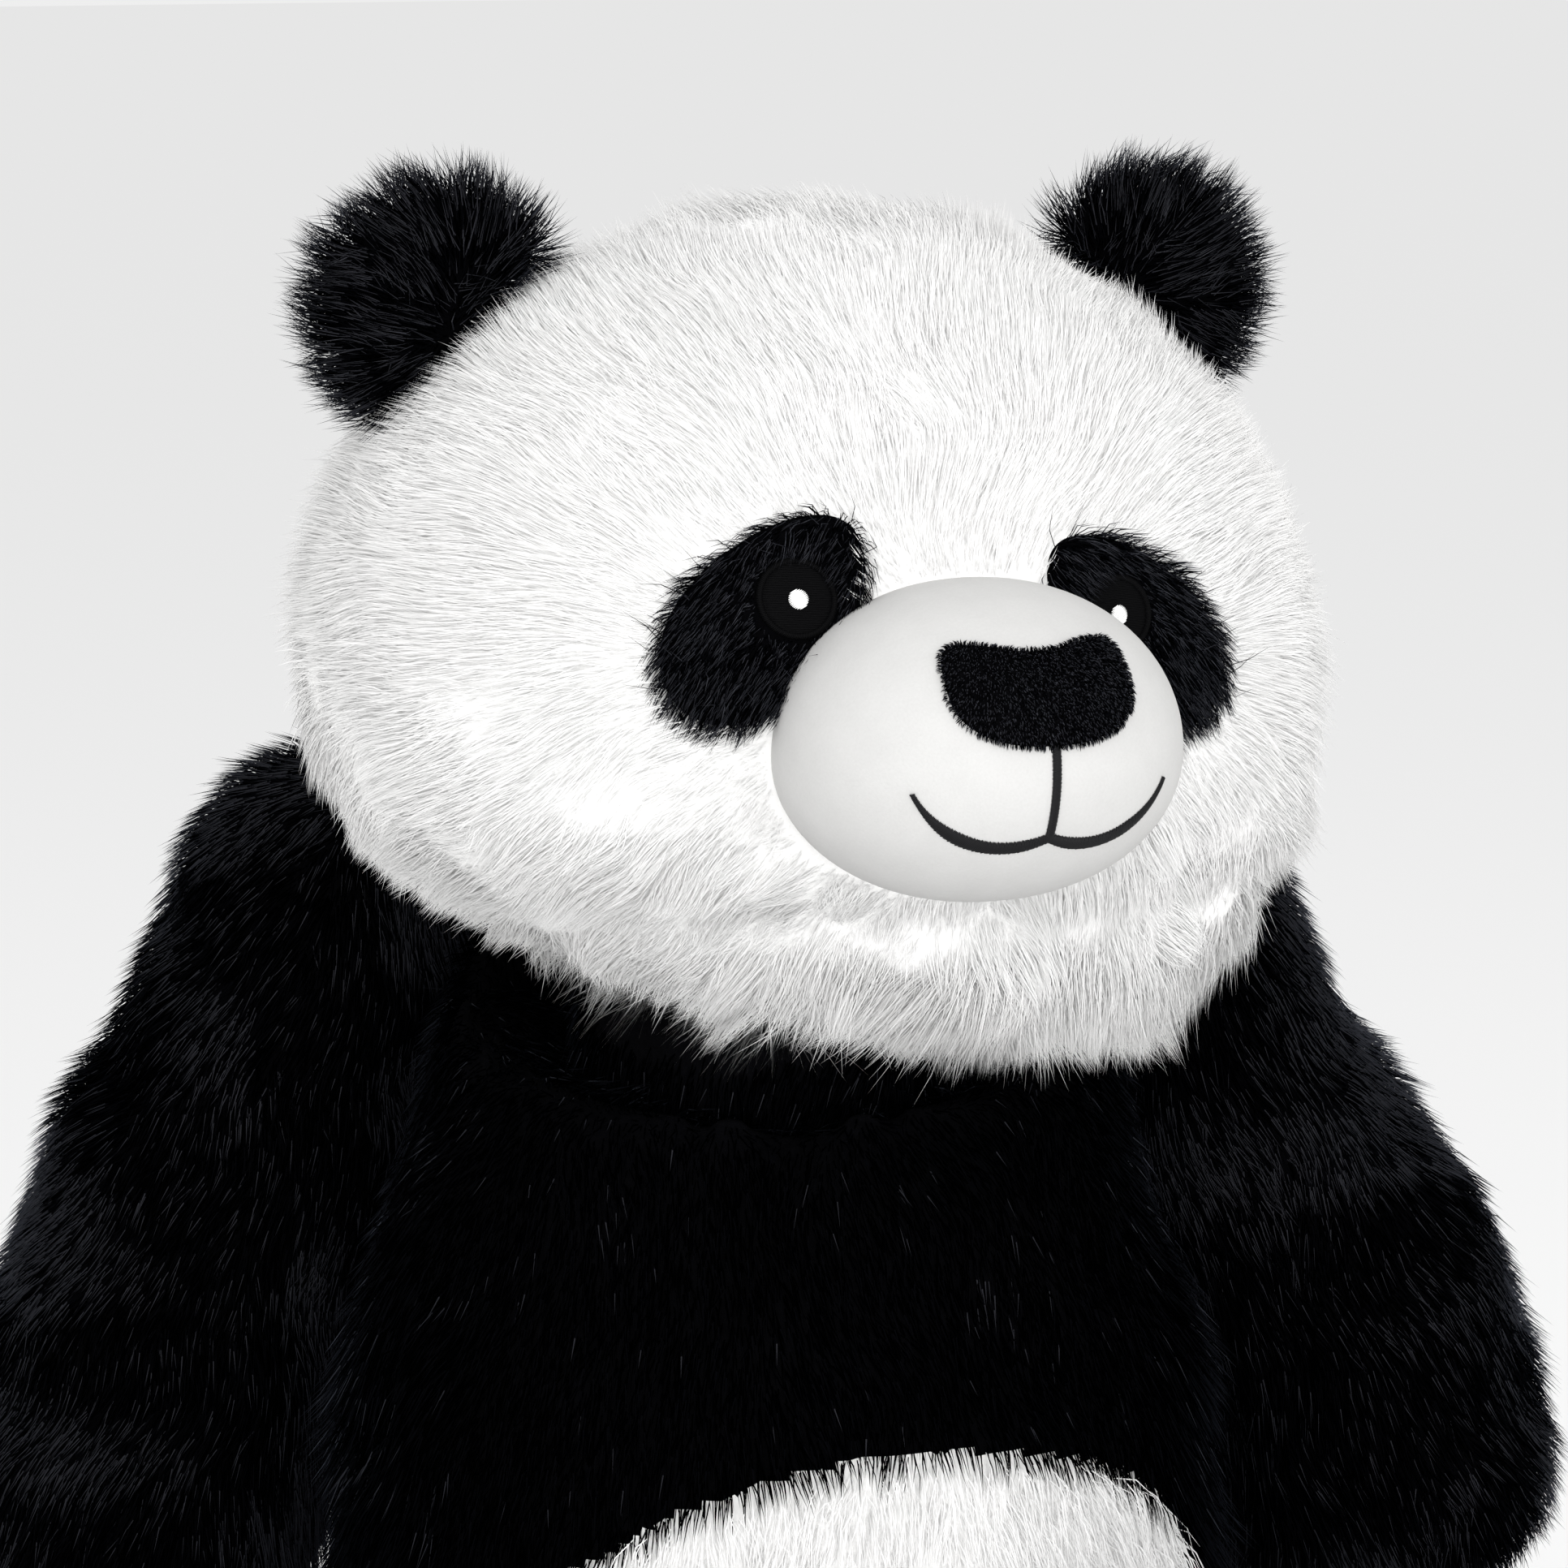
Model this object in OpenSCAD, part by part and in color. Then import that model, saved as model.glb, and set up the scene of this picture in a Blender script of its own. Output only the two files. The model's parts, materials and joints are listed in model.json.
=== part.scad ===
// Seated plush panda, in millimetres. +Z is up, the face looks along -Y and the panda's
// left is +X. The origin is on the floor, at the middle of the toy's footprint.

/* [Torso] */
// Largest radius of the torso, at the belly
belly_r = 120; // [110:1:130]
// Radius of the flat base that the torso sits on
base_r = 98; // [85:1:108]
// Height of the widest part of the belly
belly_z = 110; // [95:1:125]
// Height of the top of the torso, inside the neck
torso_h = 398; // [390:1:406]
// Height at which the white belly panel ends under the chest
belly_panel_top = 232; // [200:1:240]
// Height at which the black shoulder band ends at the sides and back
band_z = 170; // [150:1:200]

/* [Head] */
// Half of the head's width, without its pile
head_half_w = 135; // [124:1:138]
// Half of the head's height and depth, without its pile
head_half_h = 109; // [102:1:112]
// Height of the middle of the head
head_z = 442; // [436:1:450]
// How far the head's middle lies in front of the torso's axis
head_forward = 64; // [60:1:70]
// Squareness of the head's outline, where 2 is an ellipse
head_power = 2.2; // [2:0.1:2.4]
// Angle that the head is turned to the panda's left when it rests
head_turn = 16; // [0:1:16]

/* [Neck] */
// Radius of the stuffed neck ball
neck_r = 56; // [50:1:60]
// Height of the point that the head turns and nods about
neck_z = 330; // [324:1:336]
// How far that point lies in front of the torso's axis
neck_forward = 38; // [30:1:42]

/* [Muzzle] */
// Half of the muzzle's width
muzzle_half_w = 51; // [46:1:56]
// Half of the muzzle's height
muzzle_half_h = 42; // [38:1:46]
// Depth of the muzzle divided by its height
muzzle_deep = 1.16; // [1:0.02:1.2]
// How far the muzzle's middle lies in front of the head's middle
muzzle_forward = 112; // [106:1:116]
// How far the muzzle's middle lies below the head's middle
muzzle_drop = 15; // [4:1:18]
// Width of the nose patch
nose_w = 50; // [42:1:54]
// Height of the nose patch
nose_h = 25; // [22:1:32]
// Width of the stitched smile
smile_w = 66; // [50:1:70]

/* [Eyes] */
// Diameter of the stitched iris
iris_d = 19.5; // [15:0.5:23]
// Diameter of the stitched glint in the iris
glint_d = 5.6; // [4:0.2:7]
// Length of the black patch around the eye
patch_l = 65; // [54:1:70]
// Width of the black patch around the eye
patch_w = 38; // [32:1:44]

/* [Ears] */
// Radius of an ear, without its pile
ear_r = 30; // [26:1:34]
// Thickness of an ear at its middle
ear_t = 20; // [16:1:24]
// Angle of the ears above the horizontal, seen from the front
ear_tilt = 42.5; // [38:0.5:48]

/* [Arms] */
// Radius of the arm at the shoulder
shoulder_r = 42; // [38:1:43]
// Radius of the arm at the paw
paw_r = 46; // [42:1:49]
// Length from the middle of the shoulder to the middle of the paw
arm_l = 168; // [150:1:175]
// Angle at which the hanging arm leans away from the torso
arm_lean = 22; // [20:1:24]

/* [Legs] */
// Radius of the leg at the hip
hip_r = 57; // [52:1:60]
// Radius of the leg at the foot
foot_r = 62; // [57:1:66]
// Length from the middle of the hip to the sole
leg_l = 120; // [105:1:130]
// Angle that each leg is turned outward from straight ahead
leg_splay = 38; // [34:1:42]

/* [Tail] */
// Radius of the tail
tail_r = 24; // [20:1:26]
// Height of the tail's middle
tail_z = 82; // [76:1:92]

/* [Fabric] */
// Thickness of a pile fabric cover as it is modelled
cover_t = 3; // [2:0.5:4]
// Gap between soft pieces that move past each other
gap = 0.5; // [0.4:0.1:0.8]

/* [Hidden] */
$fn = 72;

// Middles of the moving pieces, measured from the torso's own axis
head_at = [0, -head_forward, head_z];
neck_at = [0, -neck_forward, neck_z];
muzzle_at = head_at + [0, -muzzle_forward, -muzzle_drop];
shoulder_at = [116, 44, 348];
hip_out = belly_r + 30;
leg_dir = [sin(leg_splay), -cos(leg_splay), 0];
hip_at = hip_out * leg_dir + [0, 0, hip_r];
tail_out = 8;
tail_l = 12;
tail_taper = 3;
tail_at = [0, belly_r - 1 + tail_out, tail_z];

// The ear's hinge lies on the head's surface, and its disc stands out from there
ear_seat = 124;
ear_out = 14;
ear_base_r = 9;
ear_base_l = 42;
ear_back = 6;
ear_clear = 6;
// Gap along the seam between the belly panel and the chest
seam_gap = 0.2;

// Radius of the rounded edge of the foot
sole_round = 14;

// The toy is slid along Y so that the middle of its footprint is on the origin
front_y = leg_dir.y * (hip_out + leg_l - sole_round) - leg_dir.x * (foot_r - sole_round) - sole_round;
back_y = tail_at.y + tail_l + tail_r - tail_taper;
y_shift = -(front_y + back_y) / 2;

// Room that the torso leaves for the head to turn and nod, measured from the head facing ahead
head_room = 11;
head_room_drop = 5;
panel_half_w = 108;
panel_arch = 66;
nose_pile = 1.5;
satin_t = 1;
patch_pile = 1.5;
stitch_r = 0.6;
far = 400;

black = [0.05, 0.05, 0.055];
white = [0.93, 0.93, 0.92];
fill = [0.97, 0.97, 0.95];

// A point on a cubic curve
function bezier(p, t) = pow(1 - t, 3) * p[0] + 3 * t * pow(1 - t, 2) * p[1]
    + 3 * t * t * (1 - t) * p[2] + pow(t, 3) * p[3];

// Half outline of the torso, from the base's edge up to the top on the axis
torso_low = [[base_r, 0], [belly_r - 4, 6], [belly_r, belly_z / 2], [belly_r, belly_z]];
torso_top = [[belly_r, belly_z], [belly_r, belly_z + 100], [belly_r + 6, torso_h], [0, torso_h]];
torso_line = [for (i = [0 : 6]) bezier(torso_low, i / 6), for (i = [1 : 14]) bezier(torso_top, i / 14)];

// An open outline moved sideways by d, towards its outside when d is positive
function beside(p, d) = [for (i = [0 : len(p) - 1])
    let (a = p[max(i - 1, 0)], b = p[min(i + 1, len(p) - 1)], n = norm(b - a))
    [max(0, p[i].x + d * (b.y - a.y) / n), p[i].y - d * (b.x - a.x) / n]];

// Half outline of a rounded solid of revolution: half length a, radius b, squareness n
function oval(a, b, n, steps) = [for (i = [0 : steps])
    let (t = -90 + 180 * i / steps, s = sin(t))
    [b * pow(max(cos(t), 0), 2 / n), a * sign(s) * pow(abs(s), 2 / n)]];

// Half outline of a limb: two balls a length l apart, with straight sides
function limb(r0, r1, l) = let (tilt = asin((r0 - r1) / l)) concat(
    [for (i = [0 : 8]) let (t = -90 + (90 + tilt) * i / 8) [r0 * cos(t), r0 * sin(t)]],
    [for (i = [0 : 8]) let (t = tilt + (90 - tilt) * i / 8) [r1 * cos(t), l + r1 * sin(t)]]);

// Half outline of a leg: a ball at the hip and a flat sole with a rounded edge
function leg_line(g) = concat(
    [for (i = [0 : 8]) let (t = -90 + 90 * i / 8) [(hip_r + g) * cos(t), (hip_r + g) * sin(t)]],
    [for (i = [0 : 4]) let (t = 90 * i / 4, e = sole_round)
        [foot_r + g - e + e * cos(t), leg_l - e + e * sin(t)]],
    [[0, leg_l]]);

// Egg outline, narrower towards its upper end
function egg(l, w) = [for (i = [0 : 27]) let (t = 360 * i / 28)
    [w / 2 * sin(t) * (1 - 0.14 * cos(t)), l / 2 * cos(t)]];

module centred() translate([0, y_shift, 0]) children();
module about_neck(turn) translate(neck_at) rotate([0, 0, turn]) translate(-neck_at) children();
module on_head() centred() about_neck(head_turn) children();
module on_left() children();
module on_right() mirror([1, 0, 0]) children();
module upper_half() translate([-far, -far, 0]) cube([2 * far, 2 * far, far]);
module in_front_of(y) translate([-far, y - 2 * far, -far]) cube([2 * far, 2 * far, 3 * far]);
module behind(y) translate([-far, y, -far]) cube([2 * far, 2 * far, 3 * far]);
module above(z) translate([-far, -far, z]) cube([2 * far, 2 * far, 2 * far]);
module below(z) translate([-far, -far, z - 2 * far]) cube([2 * far, 2 * far, 2 * far]);

// Plain bodies of the soft pieces, grown by g
module torso_body() rotate_extrude() polygon(concat([[0, 0]], torso_line));
module torso_core() rotate_extrude() polygon(concat([[0, cover_t]],
    [for (p = beside(torso_line, -cover_t)) [p.x, max(cover_t, p.y)]]));
module head_body(g) translate(head_at) rotate([0, 90, 0]) rotate_extrude()
    polygon(oval(head_half_w + g, head_half_h + g, head_power, 24));
module muzzle_body(g) translate(muzzle_at) scale([1, muzzle_deep, 1]) rotate([0, 90, 0]) rotate_extrude()
    polygon(oval(muzzle_half_w + g, muzzle_half_h + g, 2.1, 20));
module at_shoulder() translate(shoulder_at) rotate([0, 180 - arm_lean, 0]) children();
module arm_body(g) at_shoulder() rotate_extrude() polygon(limb(shoulder_r + g, paw_r + g, arm_l));
module at_hip() translate(hip_at) rotate([0, 0, leg_splay]) rotate([90, 0, 0]) children();
module leg_body(g) intersection() {
    at_hip() rotate_extrude() polygon(leg_line(g));
    upper_half();
}
module at_tail() translate(tail_at) rotate([-90, 0, 0]) children();
module tail_body(g) at_tail() rotate_extrude() polygon(limb(tail_r + g, tail_r - tail_taper + g, tail_l));
module at_ear() translate(head_at + [0, ear_back, 0]) rotate([0, 90 - ear_tilt, 0])
    translate([0, 0, ear_seat]) children();
module ear_disc(g) translate([0, 0, ear_out]) rotate([90, 0, 0]) rotate_extrude()
    polygon(oval(ear_t / 2 + g, ear_r + g, 2.4, 16));
module ear_root(g) rotate([0, 90, 0]) cylinder(r = ear_base_r + g, h = ear_base_l + 2 * g, center = true);

// The space that a hanging arm sweeps as it swings about its shoulder
module arm_room() {
    slope = arm_lean - asin((paw_r - shoulder_r) / arm_l);
    reach = 170;
    translate(shoulder_at) rotate([0, 90, 0])
        translate([0, 0, -(shoulder_r + gap) / cos(slope)])
            cylinder(r1 = 0, r2 = reach, h = reach * tan(slope));
}

// Everything that the torso leaves room for
module torso_rooms() {
    translate(neck_at) sphere(r = neck_r + gap);
    for (turn = [-head_turn, 0, head_turn])
        translate([0, 0, -head_room_drop]) about_neck(turn) head_body(head_room);
    for (s = [0, 1]) mirror([s, 0, 0]) {
        arm_room();
        translate(hip_at) sphere(r = hip_r + gap);
    }
    translate(tail_at) sphere(r = tail_r + gap);
}
module torso_shell() difference() {
    torso_body();
    torso_core();
    torso_rooms();
}

// Arched outline of the belly panel, seen from the front, and grown by g
module belly_panel(g) rotate([90, 0, 0]) linear_extrude(far) polygon(concat(
    [for (a = [0:6:180]) [
        (panel_half_w + g) * cos(a),
        belly_panel_top - panel_arch + (panel_arch + g) * sin(a)
    ]],
    [[-panel_half_w - g, 70 + g], [-far, 70 + g], [-far, 0]],
    [[far, 0], [far, 70 + g], [panel_half_w + g, 70 + g]]
));

module chest_cover() color(black) centred() difference() {
    torso_shell();
    behind(0);
    belly_panel(seam_gap);
}
module belly_cover() color(white) centred() difference() {
    intersection() { torso_shell(); belly_panel(0); }
    below(cover_t);
}
module back_yoke_cover() color(black) centred() difference() {
    torso_shell();
    in_front_of(0);
    below(band_z);
}
module rump_cover() color(white) centred() difference() {
    torso_shell();
    in_front_of(0);
    above(band_z);
    below(cover_t);
}
module base_cover() color(white) centred() difference() {
    torso_body();
    above(cover_t);
}
module torso_stuffing() color(fill) centred() difference() {
    torso_core();
    torso_rooms();
}
// Hand stitches that close the seam down the middle of the back
module closing_stitches() color(white) centred() for (i = [0 : 7])
    translate([0, belly_r + stitch_r + 0.06, 118 + 5 * i]) rotate([0, 90 - 8, 0])
        cylinder(r = stitch_r, h = 5, center = true);
// Blank woven label caught in the side seam
module sewn_in_label() color(white) centred() rotate([0, 0, 55])
    translate([belly_r, -0.4, 98]) cube([22, 0.8, 18]);

module tail_cover() color(white) centred() difference() {
    tail_body(0);
    tail_body(-cover_t);
    at_tail() translate([0, 0, -tail_r - 10]) cylinder(r = tail_r, h = 20);
}
module tail_stuffing() color(fill) centred() tail_body(-cover_t);
module neck_cover() color(black) centred() translate(neck_at) difference() {
    sphere(r = neck_r);
    sphere(r = neck_r - cover_t);
    for (s = [-1, 1]) translate([0, 0, s * (36 + far / 2)]) cube(far, center = true);
}
module neck_stuffing() color(fill) centred() translate(neck_at) sphere(r = neck_r - cover_t);

// Room in the head for the neck ball and the two ear roots
module head_rooms() {
    translate(neck_at) sphere(r = neck_r + gap);
    for (s = [0, 1]) mirror([s, 0, 0]) at_ear() ear_root(gap);
}
module head_shell() difference() {
    head_body(0);
    head_body(-cover_t);
    head_rooms();
}
face_seam_y = head_at.y + 10;
chin_seam_z = head_at.z - 62;
module face_cover() color(white) on_head() difference() {
    head_shell();
    behind(face_seam_y);
    below(chin_seam_z);
}
module chin_cover() color(white) on_head() difference() {
    head_shell();
    behind(face_seam_y);
    above(chin_seam_z);
}
module head_back_cover() color(white) on_head() difference() {
    head_shell();
    in_front_of(face_seam_y);
}
module head_stuffing() color(fill) on_head() difference() {
    head_body(-cover_t);
    head_rooms();
}
module muzzle_cover() color(white) on_head() difference() {
    muzzle_body(0);
    muzzle_body(-2);
    head_body(0);
}
module muzzle_stuffing() color(fill) on_head() difference() {
    muzzle_body(-2);
    head_body(0);
}

// A thin layer lying on the muzzle or on the head, cut to an outline seen from the front
module muzzle_layer(t) intersection() {
    difference() { muzzle_body(t); muzzle_body(0); head_body(1); }
    translate(muzzle_at) rotate([90, 0, 0]) linear_extrude(far) children();
}
module head_layer(low, high) intersection() {
    difference() { head_body(high); head_body(low); }
    translate(head_at) rotate([90, 0, 0]) linear_extrude(far) children();
}
nose_z = 18.5;
nose_corner = 4;
nose_dip = 3;
smile_r = 25;
smile_x = 10.5;
smile_z = -20;
// Bowl-shaped nose with raised corners and a shallow dip along its top
module nose_outline() difference() {
    offset(r = nose_corner) offset(delta = -nose_corner) hull() {
        translate([-nose_w / 2, nose_h / 2 - 9]) square([nose_w, 9]);
        scale([1, 0.86]) circle(r = nose_h / 2 / 0.86);
        translate([-nose_w / 2 + 3, -nose_h / 2 + 8]) square([nose_w - 6, 8]);
    }
    translate([0, nose_h / 2 - nose_dip + 50]) circle(r = 50);
}
module nose_patch() color(black) on_head() muzzle_layer(nose_pile)
    translate([0, nose_z]) nose_outline();
// Satin-stitched line under the nose and a smile of two arcs that rise to both sides
module mouth_embroidery() color(black) on_head() muzzle_layer(satin_t) union() {
    translate([-1.2, smile_z + 2]) square([2.4, nose_z - nose_h / 2 - smile_z - 2]);
    for (s = [0, 1]) mirror([s, 0]) intersection() {
        translate([smile_x, smile_z + smile_r]) difference() {
            circle(r = smile_r + 1.4);
            circle(r = smile_r - 1.4);
        }
        translate([-0.5, smile_z - 3]) square([smile_w / 2 + 0.5, smile_r]);
    }
}

patch_at = [50.5, 17];
iris_at = [44.5, 21.5];
module patch_outline() translate(patch_at) rotate(46) polygon(egg(patch_l, patch_w));
module eye_patch() color(black) difference() {
    head_layer(0, patch_pile) patch_outline();
    muzzle_body(gap);
}
module eye_iris() color([0.02, 0.02, 0.02]) difference() {
    head_layer(patch_pile, patch_pile + satin_t) translate(iris_at) circle(r = iris_d / 2);
    muzzle_body(gap);
}
module eye_glint() color([1, 1, 1]) head_layer(patch_pile + satin_t, patch_pile + 2 * satin_t)
    translate(iris_at + [0.5, 0]) circle(r = glint_d / 2);
module eye_patch_left() on_head() on_left() eye_patch();
module eye_patch_right() on_head() on_right() eye_patch();
module eye_iris_left() on_head() on_left() eye_iris();
module eye_iris_right() on_head() on_right() eye_iris();
module eye_glint_left() on_head() on_left() eye_glint();
module eye_glint_right() on_head() on_right() eye_glint();

// An ear is two discs of pile fabric sewn round a thin pad, with a rolled root
module ear_shell() difference() {
    ear_disc(0);
    ear_disc(-cover_t);
    translate([0, 0, ear_clear - far / 2]) cube(far, center = true);
    ear_root(0);
}
module ear_front() color(black) at_ear() intersection() {
    ear_shell();
    translate([-far / 2, -far, -far / 2]) cube([far, far, far]);
}
module ear_back() color(black) at_ear() {
    intersection() {
        ear_shell();
        translate([-far / 2, 0, -far / 2]) cube([far, far, far]);
    }
    ear_root(0);
}
module ear_stuffing() color(fill) at_ear() difference() {
    ear_disc(-cover_t);
    translate([0, 0, ear_clear - far / 2]) cube(far, center = true);
    ear_root(0);
}
module ear_front_left() on_head() on_left() ear_front();
module ear_front_right() on_head() on_right() ear_front();
module ear_back_left() on_head() on_left() ear_back();
module ear_back_right() on_head() on_right() ear_back();
module ear_stuffing_left() on_head() on_left() ear_stuffing();
module ear_stuffing_right() on_head() on_right() ear_stuffing();

// An arm is an inner and an outer half sewn together, side = -1 for the half by the torso
module arm_cover(side) color(black) centred() difference() {
    arm_body(0);
    arm_body(-cover_t);
    at_shoulder() translate([side * far / 2, 0, 0]) cube([far, far, 2 * far], center = true);
}
module arm_stuffing() color(fill) centred() arm_body(-cover_t);
module arm_inner_cover_left() on_left() arm_cover(-1);
module arm_inner_cover_right() on_right() arm_cover(-1);
module arm_outer_cover_left() on_left() arm_cover(1);
module arm_outer_cover_right() on_right() arm_cover(1);
module arm_stuffing_left() on_left() arm_stuffing();
module arm_stuffing_right() on_right() arm_stuffing();

// A leg is two side halves and a flat sole
module leg_end() at_hip() translate([0, 0, leg_l - cover_t]) cylinder(r = 2 * foot_r, h = far);
module leg_cover(side) color(black) centred() difference() {
    leg_body(0);
    leg_core();
    leg_end();
    at_hip() translate([side * far / 2, 0, 0]) cube([far, far, 2 * far], center = true);
}
module leg_core() intersection() {
    at_hip() rotate_extrude() polygon(leg_line(-cover_t));
    above(cover_t);
}
module foot_sole() color(black) centred() intersection() {
    leg_body(0);
    leg_end();
}
module leg_stuffing() color(fill) centred() difference() {
    leg_core();
    leg_end();
}
module leg_inner_cover_left() on_left() leg_cover(1);
module leg_inner_cover_right() on_right() leg_cover(1);
module leg_outer_cover_left() on_left() leg_cover(-1);
module leg_outer_cover_right() on_right() leg_cover(-1);
module foot_sole_left() on_left() foot_sole();
module foot_sole_right() on_right() foot_sole();
module leg_stuffing_left() on_left() leg_stuffing();
module leg_stuffing_right() on_right() leg_stuffing();

chest_cover();
back_yoke_cover();
belly_cover();
rump_cover();
base_cover();
torso_stuffing();
closing_stitches();
sewn_in_label();
tail_cover();
tail_stuffing();
neck_cover();
neck_stuffing();
face_cover();
chin_cover();
head_back_cover();
head_stuffing();
muzzle_cover();
muzzle_stuffing();
nose_patch();
mouth_embroidery();
eye_patch_left();
eye_patch_right();
eye_iris_left();
eye_iris_right();
eye_glint_left();
eye_glint_right();
ear_front_left();
ear_front_right();
ear_back_left();
ear_back_right();
ear_stuffing_left();
ear_stuffing_right();
arm_inner_cover_left();
arm_inner_cover_right();
arm_outer_cover_left();
arm_outer_cover_right();
arm_stuffing_left();
arm_stuffing_right();
leg_inner_cover_left();
leg_inner_cover_right();
leg_outer_cover_left();
leg_outer_cover_right();
foot_sole_left();
foot_sole_right();
leg_stuffing_left();
leg_stuffing_right();
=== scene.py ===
"""Looks of a seated plush panda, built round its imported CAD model: stuffed skins, mesh pile and stitching."""
import json
import math

import bpy
import numpy as np
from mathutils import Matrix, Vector
from mathutils.bvhtree import BVHTree
from mathutils.kdtree import KDTree


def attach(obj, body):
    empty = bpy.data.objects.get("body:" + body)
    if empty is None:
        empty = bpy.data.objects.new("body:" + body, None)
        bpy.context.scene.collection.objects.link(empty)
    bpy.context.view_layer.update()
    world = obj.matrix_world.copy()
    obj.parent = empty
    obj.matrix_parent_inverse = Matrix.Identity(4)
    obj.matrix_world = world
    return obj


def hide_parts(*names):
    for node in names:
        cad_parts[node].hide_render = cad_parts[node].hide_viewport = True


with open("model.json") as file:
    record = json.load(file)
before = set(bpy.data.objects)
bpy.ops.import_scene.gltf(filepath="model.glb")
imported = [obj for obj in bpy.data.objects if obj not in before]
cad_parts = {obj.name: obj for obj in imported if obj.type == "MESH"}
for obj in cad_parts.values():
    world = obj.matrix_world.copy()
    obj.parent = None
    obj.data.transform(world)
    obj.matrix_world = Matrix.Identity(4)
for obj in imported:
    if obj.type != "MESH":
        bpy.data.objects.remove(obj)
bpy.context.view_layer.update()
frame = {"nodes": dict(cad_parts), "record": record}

MM = 0.001
UP = np.array([0.0, 0.0, 1.0])
SIDES = {"left": 1, "right": -1}
FLOOR_GAP = 0.0004  # the skins stop this far above the floor


# ---------------------------------------------------------------- places, from the frame
def joint(name):
    return next(j for j in frame["record"]["behaviour"]["joints"] if j["name"] == name)


def joint_at(name):
    """Where a joint's axis lies, in metres. The joints of the ears are given for a head that faces ahead."""
    place = np.array(joint(name)["pos_m"])
    return straight(place) if name.startswith("ear") else place


# The head rests turned to one side. It is built facing ahead, and turned about the neck when it is done.
NECK = np.array(joint("head_nod")["pos_m"])
NOD_AXIS = joint("head_nod")["axis"]
YAW = math.atan2(NOD_AXIS[1], NOD_AXIS[0])
TURN = np.array([[math.cos(YAW), -math.sin(YAW), 0], [math.sin(YAW), math.cos(YAW), 0], [0, 0, 1]])
TURNED_BODIES = ("head", "ear_left", "ear_right")
TURNED_NODES = {n for b in TURNED_BODIES for n in frame["record"]["behaviour"]["bodies"][b]}


def turned(points):
    return (points - NECK) @ TURN.T + NECK


def straight(points):
    return (points - NECK) @ TURN + NECK


def node_points(node):
    """A node's points, with the head facing ahead."""
    data = frame["nodes"][node].data
    out = np.empty(len(data.vertices) * 3)
    data.vertices.foreach_get("co", out)
    out = out.reshape(-1, 3)
    return straight(out) if node in TURNED_NODES else out


def span(*nodes):
    """Lowest and highest corner of several nodes together."""
    points = np.concatenate([node_points(n) for n in nodes])
    return points.min(0), points.max(0)


HEAD_LOW, HEAD_HIGH = span("face_cover", "chin_cover", "head_back_cover")
HEAD_W = HEAD_HIGH[0]
HEAD_R = (HEAD_HIGH[1] - HEAD_LOW[1]) / 2
HEAD = np.array([0, HEAD_LOW[1] + HEAD_R, HEAD_HIGH[2] - HEAD_R])
MUZZLE_LOW, MUZZLE_HIGH = span("muzzle_cover")
MUZZLE_W = MUZZLE_HIGH[0]
MUZZLE_R = (MUZZLE_HIGH[2] - MUZZLE_LOW[2]) / 2
MUZZLE_DEEP = MUZZLE_R * 1.16  # the muzzle is a little deeper than it is high
MUZZLE = np.array([0, MUZZLE_LOW[1] + MUZZLE_DEEP, (MUZZLE_LOW[2] + MUZZLE_HIGH[2]) / 2])
BASE_LOW, BASE_HIGH = span("base_cover")
AXIS = np.array([0, (BASE_LOW[1] + BASE_HIGH[1]) / 2, 0])
BELLY_TOP = span("belly_cover")[1][2]
BAND = span("back_yoke_cover")[0][2]
NECK_R = span("neck_cover")[1][0]
FACE_SEAM = span("head_back_cover")[0][1]
CHIN_SEAM = span("chin_cover")[1][2]


# ---------------------------------------------------------------- small helpers
def unit(v):
    return v / np.maximum(np.linalg.norm(v, axis=-1, keepdims=True), 1e-12)


def smoothstep(x, low, high):
    t = np.clip((x - low) / (high - low), 0, 1)
    return t * t * (3 - 2 * t)


def lattice(cell, seed):
    """A repeatable random number in 0..1 for each whole-numbered cell."""
    h = (cell[..., 0] * 374761393 + cell[..., 1] * 668265263 + cell[..., 2] * 2147483647 + seed * 974634777)
    h = (h ^ (h >> 13)) * 1274126177 & 0x7FFFFFFF
    return ((h ^ (h >> 16)) & 0xFFFF) / 65535.0


def noise(p, size, seed=0):
    """Smooth noise in -1..1 whose bumps are about size metres across."""
    q = p / size
    cell = np.floor(q).astype(np.int64)
    f = q - cell
    f = f * f * (3 - 2 * f)
    out = 0
    for dx in (0, 1):
        for dy in (0, 1):
            for dz in (0, 1):
                w = (f[..., 0] if dx else 1 - f[..., 0]) * (f[..., 1] if dy else 1 - f[..., 1])
                w = w * (f[..., 2] if dz else 1 - f[..., 2])
                out = out + w * lattice(cell + np.array([dx, dy, dz]), seed)
    return 2 * out - 1


def wander(p, size, seed):
    """A smooth random vector at each point."""
    return np.stack([noise(p, size, seed + i) for i in range(3)], axis=-1)


def link(name, mesh):
    obj = bpy.data.objects.new(name, mesh)
    bpy.context.scene.collection.objects.link(obj)
    return obj


def mesh_of(name, points, polys, smooth=True):
    """A mesh from an array of points and arrays of same-sized polygons."""
    mesh = bpy.data.meshes.new(name)
    mesh.vertices.add(len(points))
    mesh.vertices.foreach_set("co", np.asarray(points, np.float32).ravel())
    loops = np.concatenate([p.ravel() for p in polys]).astype(np.int32)
    starts, at = [], 0
    for p in polys:
        starts.append(at + np.arange(len(p)) * p.shape[1])
        at += p.size
    starts = np.concatenate(starts).astype(np.int32)
    mesh.loops.add(len(loops))
    mesh.loops.foreach_set("vertex_index", loops)
    mesh.polygons.add(len(starts))
    mesh.polygons.foreach_set("loop_start", starts)
    if smooth:
        mesh.polygons.foreach_set("use_smooth", np.ones(len(starts), bool))
    mesh.update(calc_edges=True)
    return mesh


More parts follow.
